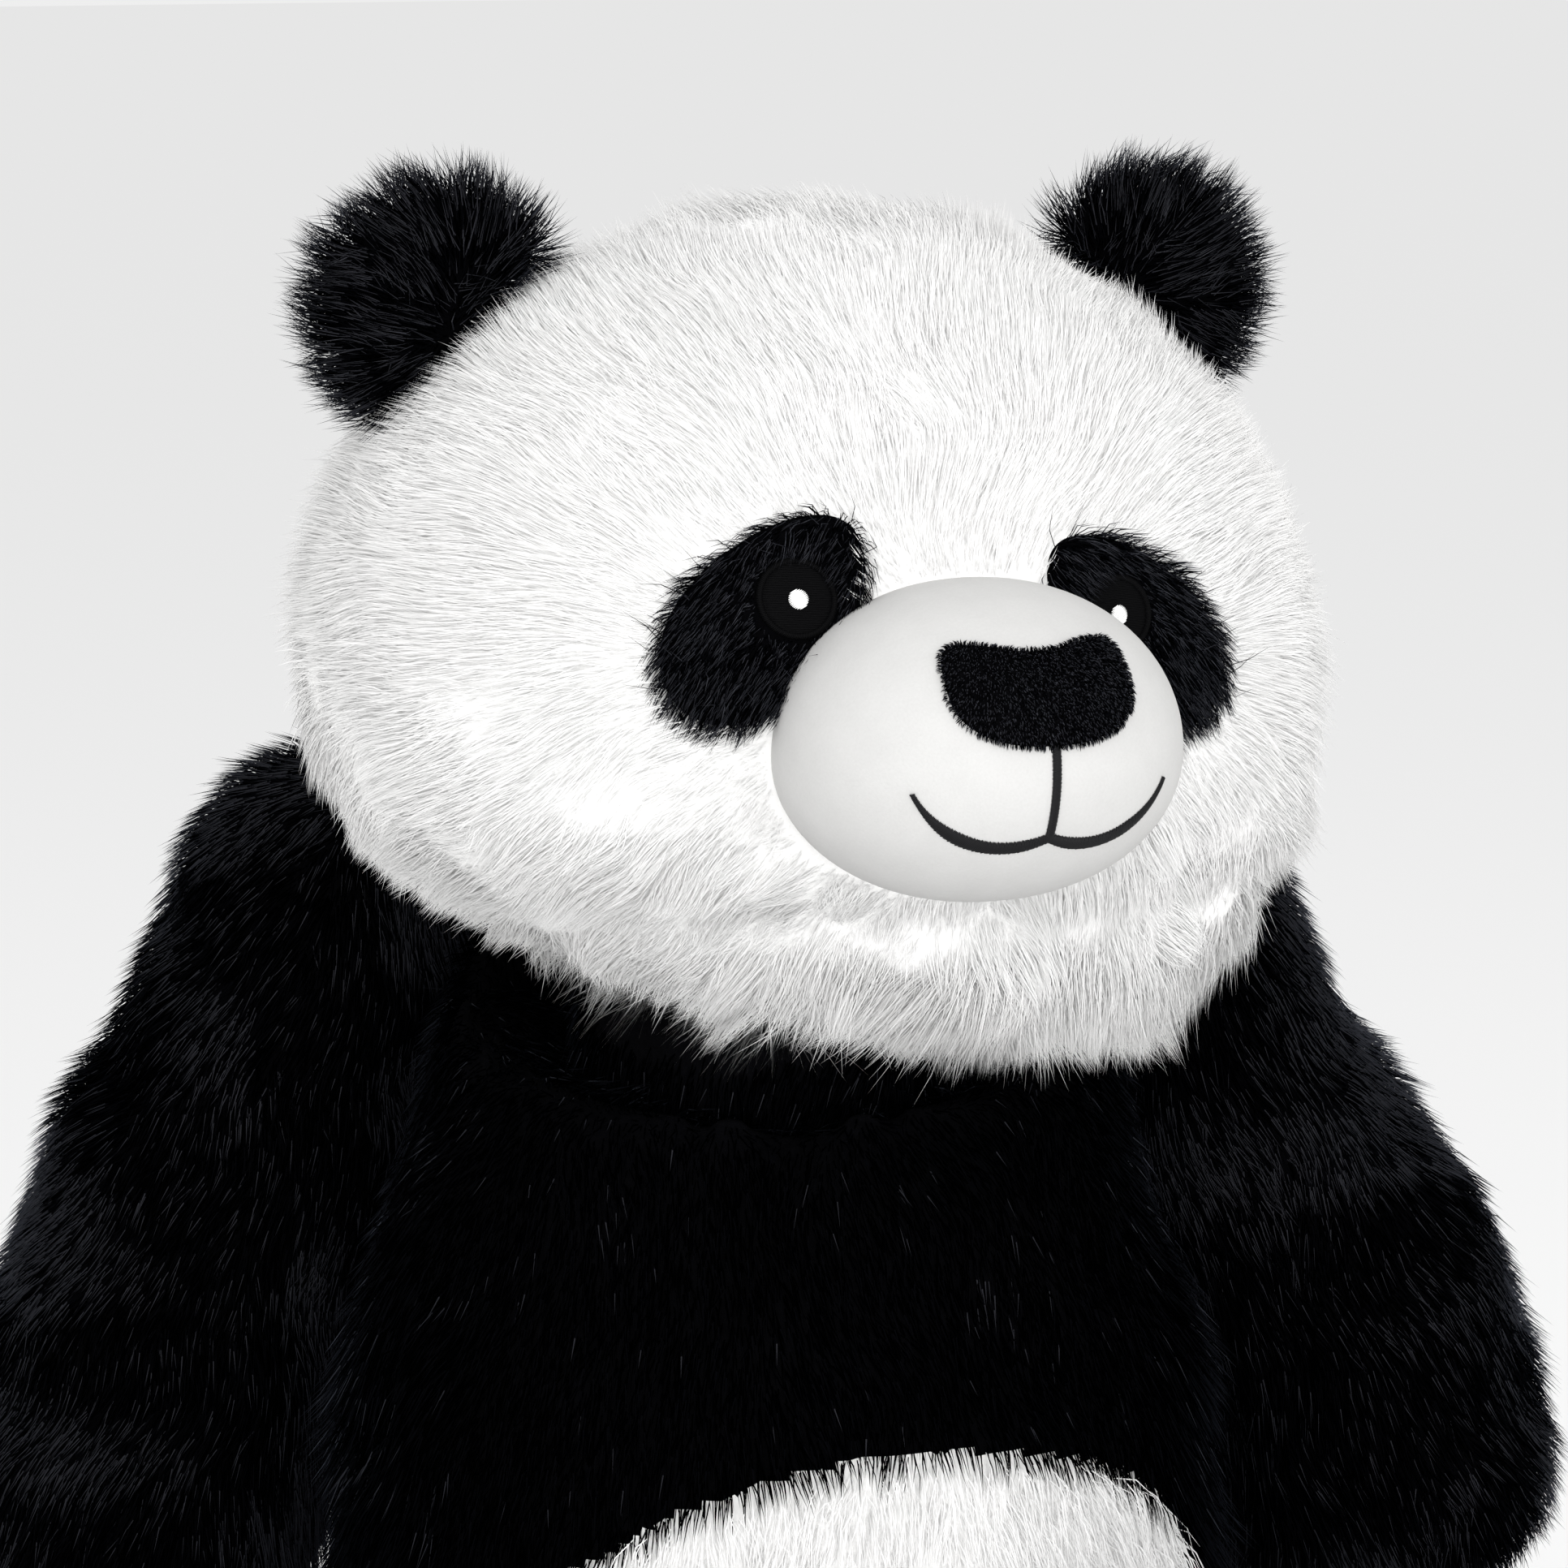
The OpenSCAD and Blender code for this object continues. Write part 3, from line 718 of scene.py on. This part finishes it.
a = np.linspace(0, 2 * math.pi, 96, endpoint=False)
patch_parts, head_parts = {}, []
for side, sign in SIDES.items():
    u, v = PATCH_W / 2 * np.sin(a) * (1 - 0.14 * np.cos(a)), PATCH_L / 2 * np.cos(a)
    x = (u * math.cos(PATCH_TILT) - v * math.sin(PATCH_TILT)) * sign
    z = u * math.sin(PATCH_TILT) + v * math.cos(PATCH_TILT)
    middle = (sign * PATCH_AT[0], PATCH_AT[1] + EYE_SHIFT[side])
    patch = raised("eye_patch_ground_" + side, middle, np.stack([x, z], -1), head_bvh, 0.0016,
                   BLACK_GROUND, 20)
    patch_parts[side] = patch
    on_patch = bvh_of(patch)
    eye = (sign * IRIS_AT[0], IRIS_AT[1] + EYE_SHIFT[side])
    disc = np.stack([np.cos(a), np.sin(a)], -1)
    iris = raised("iris_ground_" + side, eye, disc * IRIS_R * 0.97, on_patch, 0.0009,
                  IRIS_THREAD, 12, rings=8)
    on_iris = bvh_of(iris)
    # rows of fill stitches inside a satin-stitched rim
    rows = np.linspace(-0.86, 0.86, 40) * IRIS_R
    half = np.sqrt(IRIS_R ** 2 * 0.80 - rows ** 2)
    t = np.linspace(-1, 1, 13)
    px, pz = eye[0] + half[:, None] * t, eye[1] + rows[:, None] + 0 * t
    points, normals = drape(px, pz, on_iris)
    points = points + normals * (0.0001 + 0.00012 * np.sin(px * 2600 + rows[:, None] * 4000))[..., None]
    fill = threads("iris_fill_" + side, points, normals, 0.00026, IRIS_THREAD)
    ring = np.linspace(0, 2 * math.pi, 120)
    rim = satin("iris_rim_" + side, eye[0] + IRIS_R * 0.93 * np.cos(ring),
                eye[1] + IRIS_R * 0.93 * np.sin(ring), np.full(120, 0.0016), on_patch, IRIS_THREAD,
                height=0.0016)
    # the glint's stitches run at a slant
    rows = np.linspace(-0.93, 0.93, 13) * GLINT_R
    half = np.sqrt(GLINT_R ** 2 * 1.04 - rows ** 2)
    t = np.linspace(-1, 1, 7)
    c, s = math.cos(0.5), math.sin(0.5)
    gx, gz = half[:, None] * t, rows[:, None] + 0 * t
    points, normals = drape(eye[0] + gx * c - gz * s, eye[1] + gx * s + gz * c, on_iris)
    points = points + normals * (0.0002 + 0.0007 * np.sqrt(1 - 0.8 * t ** 2))[None, :, None]
    glint = threads("glint_" + side, points, normals, GLINT_R / 12, WHITE_THREAD)
    head_parts += [(patch, "black_medium_pile", ["eye_patch_" + side]),
                   (iris, "black_thread", ["eye_iris_" + side]),
                   (fill, "black_thread", []), (rim, "black_thread", []),
                   (glint, "white_thread", ["eye_glint_" + side])]


# ---------------------------------------------------------------- nose and mouth
NOSE_LOW, NOSE_HIGH = span("nose_patch")
NOSE_W, NOSE_H = NOSE_HIGH[0] - NOSE_LOW[0], NOSE_HIGH[2] - NOSE_LOW[2]
NOSE_AT = (0.0, (NOSE_LOW[2] + NOSE_HIGH[2]) / 2)


def nose_outline(count=160, narrower=0.955):
    """Bowl-shaped nose: raised corners, a dip between them and a full round lower edge."""
    angle = np.linspace(0, 2 * math.pi, count, endpoint=False)
    c, s = np.cos(angle), np.sin(angle)
    k = np.where(s < 0, 2.5, 3.4)
    r = 1 / (np.abs(c) ** k + np.abs(s) ** k) ** (1 / k)
    x, z = NOSE_W / 2 * r * c, NOSE_H / 2 * r * s
    dip = 0.0034 * (1 - smoothstep(np.abs(x), 0.002, NOSE_W * 0.46)) * (s > 0)
    corner = 0.0012 * smoothstep(np.abs(x), NOSE_W * 0.3, NOSE_W * 0.48) * (s > 0.3)
    pinch = 1 - 0.05 * smoothstep(-z, 0, NOSE_H / 2)
    return np.stack([x * pinch * narrower, z - dip + corner], -1)


nose = raised("nose_ground", NOSE_AT, nose_outline(), muzzle_bvh, 0.0015, MINKY, 14)
head_parts.append((nose, "black_minky", ["nose_patch"]))

MOUTH_LOW, MOUTH_HIGH = span("mouth_embroidery")
SMILE_R, SMILE_X = 0.025, 0.0105  # each half of the smile is an arc about a middle off to the side
SMILE_Z = MOUTH_LOW[2] + 0.0026
lips = np.linspace(0, 1, 60)
first, last = -math.asin(SMILE_X / SMILE_R), math.asin((MOUTH_HIGH[0] - SMILE_X) / SMILE_R)
angle = first + (last - first) * lips
width = 0.0031 * (1 - smoothstep(lips, 0.55, 1.0) * 0.72) * (0.8 + 0.2 * smoothstep(lips, 0, 0.2))
for side, sign in SIDES.items():
    x = sign * (SMILE_X + SMILE_R * np.sin(angle))
    z = SMILE_Z + SMILE_R * (1 - np.cos(angle))
    piece = satin("smile_" + side, x, z, width, muzzle_bvh, BLACK_THREAD)
    head_parts.append((piece, "black_thread", ["mouth_embroidery"] if side == "left" else []))
z = np.linspace(NOSE_LOW[2] + 0.001, SMILE_Z + 0.0022, 30)
piece = satin("lip_line", np.zeros(30), z, np.full(30, 0.0023), muzzle_bvh, BLACK_THREAD, slant=0.5)
head_parts.append((piece, "black_thread", []))


# ---------------------------------------------------------------- head pile
def muzzle_reach(p):
    return np.linalg.norm((p - MUZZLE) / np.array([MUZZLE_W, MUZZLE_DEEP, MUZZLE_R]), axis=1)


def head_flow(p, n):
    """Away from the muzzle, back over the crown, and down on the cheeks and the back."""
    away = unit(p - (MUZZLE + np.array([0, 0, 0.01])))
    q = p - HEAD
    low = smoothstep(-q[:, 2], -0.02, 0.06)
    rear = smoothstep(q[:, 1], 0.0, 0.08)
    return away - UP * (0.9 * low + 0.9 * rear)[:, None]


def head_length(p, n):
    q = p - HEAD
    size = 0.0125 + 0.002 * noise(p, 0.03, 3)
    size = size + (0.003 + 0.004 * smoothstep(q[:, 0], 0, 0.06)) * smoothstep(-q[:, 2], 0.03, 0.095)
    size = size * (0.6 + 0.4 * smoothstep(muzzle_reach(p), 1.0, 1.4))
    for side in SIDES:
        size = size * (0.72 + 0.28 * smoothstep(patch_reach(p, side), 1.0, 1.6))
    seam = np.minimum(np.abs(p[:, 1] - FACE_SEAM), np.where(q[:, 1] < 0, np.abs(p[:, 2] - CHIN_SEAM), 1))
    return size * (0.6 + 0.4 * smoothstep(seam, 0.001, 0.008))


def head_gather(p, n):
    q = p - HEAD
    return 0.24 + 0.6 * smoothstep(-q[:, 2], -0.01, 0.06)


def head_wave(p, n):
    return 0.55 + 0.35 * smoothstep(HEAD[2] - p[:, 2], -0.01, 0.05)


def outside_face_patches(p, n):
    inside = muzzle_reach(p) < 1.0
    for side in SIDES:
        inside |= patch_reach(p, side) < 0.99
    return ~(inside | (np.linalg.norm(p - NECK, axis=1) < NECK_R + 0.003))


pile("head_pile", skins["head"], "head", WHITE_PILE, 88, head_length, head_flow, lift=0.31, width=0.0003,
     keep=outside_face_patches, tuft=0.009, gather=head_gather, stray=0.26, wave=head_wave, soft=1, seed=14)
skins["head"].data.materials.append(WHITE_GROUND)


def low_on_head(p, n):
    """The under edge of the cheeks and chin, in scattered clumps."""
    q = p - HEAD
    edge = np.exp(-((q[:, 2] + 0.088) / 0.02) ** 2) * (q[:, 1] < 0.03)
    edge = edge + 0.3 * np.exp(-(((q[:, 0] - 0.02) / 0.03) ** 2 + ((q[:, 2] + 0.1) / 0.02) ** 2))
    return outside_face_patches(p, n) & (noise(p, 0.016, 77) + edge > 0.8) & (edge > 0.3)


pile("chin_tufts", skins["head"], "head", WHITE_PILE, 70, 0.023, head_flow, lift=0.3, width=0.00027,
     keep=low_on_head, tuft=0.011, gather=0.85, stray=0.3, wave=0.9, bend=0.6, soft=0.95, seed=12)


def patch_flow(p, n):
    return np.stack([np.sign(p[:, 0]) * 0.6, np.zeros(len(p)), np.full(len(p), -0.8)], -1)


for side, sign in SIDES.items():
    def patch_length(p, n, side=side):
        return 0.0084 * (0.25 + 0.75 * smoothstep(iris_gap(p, side), 0.0, 0.006))

    pile("eye_patch_pile_" + side, patch_parts[side], "head", SHEEN_PAINTED_PILE, 190, patch_length, patch_flow,
         lift=0.36, width=0.0003, keep=lambda p, n, s=side: iris_gap(p, s) > 0, tuft=0.004, gather=0.55,
         stray=0.4, soft=0.3, seed=21, painted_sheen_share=0.1)
    pile("eye_patch_strays_" + side, patch_parts[side], "head", BLACK_PILE, 5, 0.013,
         lambda p, n: np.stack([p[:, 0] * 6, 0 * p[:, 0], 0.2 + 0 * p[:, 0]], -1), lift=0.5, width=0.00026,
         keep=lambda p, n, s=side: patch_reach(p, s) > 0.6, stray=0.9, gather=0.5, soft=0.3, seed=23)
pile("nose_pile", nose, "head", SHEEN_PAINTED_PILE, 420, 0.0017, lambda p, n: np.tile([0, 0, -1.0], (len(p), 1)),
     lift=0.7, width=0.00032, tuft=0.0013, gather=0.7, wave=0.2, soft=0.2, seed=22, painted_sheen_share=0.06)


# ---------------------------------------------------------------- ears
def ear_flow(side):
    root_at = joint_at("ear_fold_" + side)
    return lambda p, n: unit(p - root_at)


for side in SIDES:
    # the ear pile has more strands with painted sheen on the rim, where the ear's faces turn sideways
    pile("ear_pile_" + side, skins["ear_" + side], "ear_" + side, SHEEN_PAINTED_PILE, 115, 0.0150, ear_flow(side),
         lift=0.45, width=0.00034, tuft=0.007, gather=0.85, stray=0.4, soft=0.5, seed=31,
         painted_sheen_share=lambda p, n: 0.02 + 0.16 * smoothstep(np.abs(n[:, 1]), 0.8, 0.2))
    skins["ear_" + side].data.materials.append(BLACK_GROUND)


# ---------------------------------------------------------------- body pile
def down(p, n):
    return np.tile([0.0, -0.1, -1.0], (len(p), 1))


def belly_white(p):
    """Where the torso is white: the arched belly panel in front, and the rump below the shoulder band."""
    q = p - AXIS
    half, rise = 0.108, 0.066
    skew = 0.2 * q[:, 0] - 0.004 + 0.004 * noise(p, 0.03, 55)
    up = np.maximum(p[:, 2] - skew - (BELLY_TOP - rise), 0)
    arch = np.hypot(q[:, 0] / half, up / rise) < 1
    front = (q[:, 1] < 0) & (arch | (p[:, 2] < 0.07))
    rear = (q[:, 1] >= 0) & (p[:, 2] < BAND)
    return front | rear


LEG_ROOT_R, TAIL_ROOT_R = 0.060, 0.027  # the round places on the torso that the legs and the tail cover


def torso_open(p, n):
    """Skin that no leg, tail or neck covers and that doesn't rest on the floor."""
    hidden = np.linalg.norm(p - NECK, axis=1) < NECK_R - 0.002
    for side in SIDES:
        hidden |= np.linalg.norm(p - joint_at("leg_lift_" + side), axis=1) < LEG_ROOT_R
    hidden |= np.linalg.norm(p - joint_at("tail_wag"), axis=1) < TAIL_ROOT_R
    return ~hidden & (n[:, 2] > -0.8)


def side_reach(p, n):
    """Longer pile low on the sides, where the arms rest against the body."""
    return 0.0125 + 0.008 * smoothstep(np.abs(p[:, 0]), 0.08, 0.11) * smoothstep(p[:, 2], 0.3, 0.24)


# a few strands of the torso's black pile, in random patches, take the lightest shade: painted sheen
pile("torso_black_pile", skins["torso"], "torso", BLACK_PILE, 34, side_reach, down, lift=0.38, width=0.00046,
     keep=lambda p, n: torso_open(p, n) & ~belly_white(p), tuft=0.007, gather=0.5, soft=0.75, seed=41,
     painted_sheen_share=lambda p, n: 0.01 + 0.08 * smoothstep(noise(p, 0.025, 91), 0.1, 0.6))
pile("neck_pile", skins["neck"], "neck", BLACK_PILE, 60, 0.0125, down, lift=0.2, width=0.00038,
     keep=lambda p, n: (np.linalg.norm((p - HEAD) / np.array([HEAD_W, HEAD_R, HEAD_R]), axis=1) > 1.0)
     & (p[:, 2] > 0.2), soft=0.75, seed=42, painted_sheen_share=0.05)
pile("torso_white_pile", skins["torso"], "torso", WHITE_PILE, 50, 0.015, down, lift=0.42, width=0.00036,
     keep=lambda p, n: torso_open(p, n) & belly_white(p), tuft=0.009, gather=0.6, stray=0.4, soft=0.94,
     seed=51)
torso = skins["torso"].data
torso.materials.append(WHITE_GROUND)
torso.materials.append(BLACK_GROUND)
centres = np.empty(len(torso.polygons) * 3, np.float32)
torso.polygons.foreach_get("center", centres)
black = ~belly_white(centres.reshape(-1, 3).astype(float))
torso.polygons.foreach_set("material_index", black.astype(np.int32))


def limb_flow(way):
    return lambda p, n: np.tile(way, (len(p), 1)) + 0.3 * n


# painted sheen on the arms: more strands take the lightest shade where the faces turn to the sides, and in
# random patches
def arm_painted_sheen(p, n):
    return 0.1 + 0.75 * smoothstep(noise(p, 0.024, 93) + 0.8 * np.abs(n[:, 0]), 0.1, 1.0)


LEG_ROOT = 0.118  # the legs' pile starts this far from the body's axis

for side, sign in SIDES.items():
    shoulder = joint_at("arm_swing_" + side)
    arm_way = unit(node_points("arm_stuffing_" + side).mean(0) - shoulder)

    def arm_length(p, n, sign=sign):
        inner = smoothstep(-n[:, 0] * sign, 0.2, 0.7)
        return 0.0138 + 0.007 * inner * smoothstep(p[:, 2], 0.28, 0.22)

    pile("arm_pile_" + side, skins["arm_" + side], "arm_" + side, BLACK_PILE, 56, arm_length,
         limb_flow(arm_way), lift=0.42, width=0.0004, tuft=0.006, gather=0.7, soft=0.6, seed=61,
         painted_sheen_share=arm_painted_sheen)
    skins["arm_" + side].data.materials.append(BLACK_GROUND)
    hip = joint_at("leg_lift_" + side)
    leg_way = unit((hip - AXIS) * np.array([1, 1, 0]))

    def leg_keep(p, n, way=leg_way):
        return (n[:, 2] > -0.8) & (p[:, 2] > 0.004) & ((p - AXIS) @ way > LEG_ROOT)

    def leg_length(p, n, way=leg_way):
        return 0.0125 - 0.009 * smoothstep(n @ way, 0.75, 0.95)

    pile("leg_pile_" + side, skins["leg_" + side], "leg_" + side, BLACK_PILE, 28, leg_length,
         limb_flow(leg_way), lift=0.36, width=0.0005, keep=leg_keep, tuft=0.007, gather=0.5, soft=0.7,
         seed=71, painted_sheen_share=0.12)
    skins["leg_" + side].data.materials.append(BLACK_GROUND)

pile("tail_pile", skins["tail"], "tail", WHITE_PILE, 40, 0.012,
     lambda p, n: np.tile([0, 0.6, -0.8], (len(p), 1)), lift=0.55, width=0.00045, soft=0.85, seed=81)
skins["tail"].data.materials.append(WHITE_GROUND)
skins["neck"].data.materials.append(BLACK_GROUND)


# ---------------------------------------------------------------- bodies and nodes
def settle(obj, body, slot, fill, *nodes):
    """Turns a piece with its head, and says which body it rides and which nodes it replaces. slot and fill are
    not used.
    """
    if body in TURNED_BODIES:
        set_points(obj.data, turned(points_of(obj.data)))
    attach(obj, body)
    if nodes:
        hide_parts(*nodes)


settle(skins["torso"], "torso", "white_long_pile", 0.75, "chest_cover", "back_yoke_cover", "belly_cover",
       "rump_cover", "base_cover", "torso_stuffing")
settle(skins["head"], "head", "white_long_pile", 0.85, "face_cover", "chin_cover", "head_back_cover",
       "head_stuffing")
settle(muzzle_skin, "head", "white_velboa", 0.9, "muzzle_cover", "muzzle_stuffing")
settle(skins["neck"], "neck", "black_long_pile", 0.7, "neck_cover", "neck_stuffing")
settle(skins["tail"], "tail", "white_long_pile", 0.7, "tail_cover", "tail_stuffing")
for piece, slot, nodes in head_parts:
    settle(piece, "head", slot, None, *nodes)
for side in SIDES:
    settle(skins["ear_" + side], "ear_" + side, "black_long_pile", 0.4,
           "ear_front_" + side, "ear_back_" + side, "ear_stuffing_" + side)
    settle(skins["arm_" + side], "arm_" + side, "black_long_pile", 0.7,
           "arm_inner_cover_" + side, "arm_outer_cover_" + side, "arm_stuffing_" + side)
    settle(skins["leg_" + side], "leg_" + side, "black_long_pile", 0.75, "leg_inner_cover_" + side,
           "leg_outer_cover_" + side, "foot_sole_" + side, "leg_stuffing_" + side)
for node, mat in (("closing_stitches", WHITE_THREAD), ("sewn_in_label", LABEL_TAPE)):
    frame["nodes"][node].data.materials.clear()
    frame["nodes"][node].data.materials.append(mat)


# ---------------------------------------------------------------- stage, lights and camera
def area_light(name, place, aim, size, power):
    light = bpy.data.lights.new(name, "AREA")
    light.shape = "DISK"
    light.size = size
    light.energy = power
    obj = bpy.data.objects.new(name, light)
    obj.location = place
    obj.rotation_euler = (Vector(aim) - Vector(place)).to_track_quat("-Z", "Y").to_euler()
    bpy.context.scene.collection.objects.link(obj)


FLOOR_HALF = 400.0  # wide enough for its edge to lie on the horizon
corners = FLOOR_HALF * np.array([[-1, -1, 0], [1, -1, 0], [1, 1, 0], [-1, 1, 0]])
floor = link("floor", mesh_of("floor", corners, [np.array([[0, 1, 2, 3]])], smooth=False))
floor.data.materials.append(material("floor", (0.92, 0.92, 0.92), rough=1.0, specular=0.0))

world = bpy.data.worlds.new("studio")
world.use_nodes = True
world.node_tree.nodes["Background"].inputs["Color"].default_value = (0.86, 0.86, 0.86, 1)
world.node_tree.nodes["Background"].inputs["Strength"].default_value = 1.0
bpy.context.scene.world = world
area_light("key", (-1.3, -1.9, 1.7), HEAD, 2.6, 18)
area_light("fill", (1.4, -1.8, 1.6), HEAD, 2.6, 16)
area_light("low", (0.1, -2.3, 0.35), HEAD, 2.0, 32)
area_light("top", (0.0, -0.5, 2.3), HEAD, 2.4, 4)
bpy.context.scene.view_settings.view_transform = "Standard"

AZIMUTH, ELEVATION, ROLL = math.radians(-5.5), math.radians(8), math.radians(0.7)
LENS, SENSOR, FRAME_W = 130, 36, 0.415  # the picture is FRAME_W metres wide at the head
AIM_LEFT, AIM_BELOW = 0.0064, 0.0378
back = np.array([math.sin(AZIMUTH) * math.cos(ELEVATION), -math.cos(AZIMUTH) * math.cos(ELEVATION),
                 math.sin(ELEVATION)])
right = np.array([math.cos(AZIMUTH), math.sin(AZIMUTH), 0])
above = np.cross(back, right)
aim = turned(HEAD) - right * AIM_LEFT - above * AIM_BELOW
camera = bpy.data.cameras.new("camera")
camera.lens = LENS
camera.sensor_width = SENSOR
camera_obj = bpy.data.objects.new("camera", camera)
camera_obj.location = aim + back * (FRAME_W * LENS / SENSOR)
camera_obj.rotation_euler = Vector(-back).to_track_quat("-Z", "Y").to_euler()
camera_obj.rotation_euler.rotate_axis("Z", -ROLL)
bpy.context.scene.collection.objects.link(camera_obj)
bpy.context.scene.camera = camera_obj
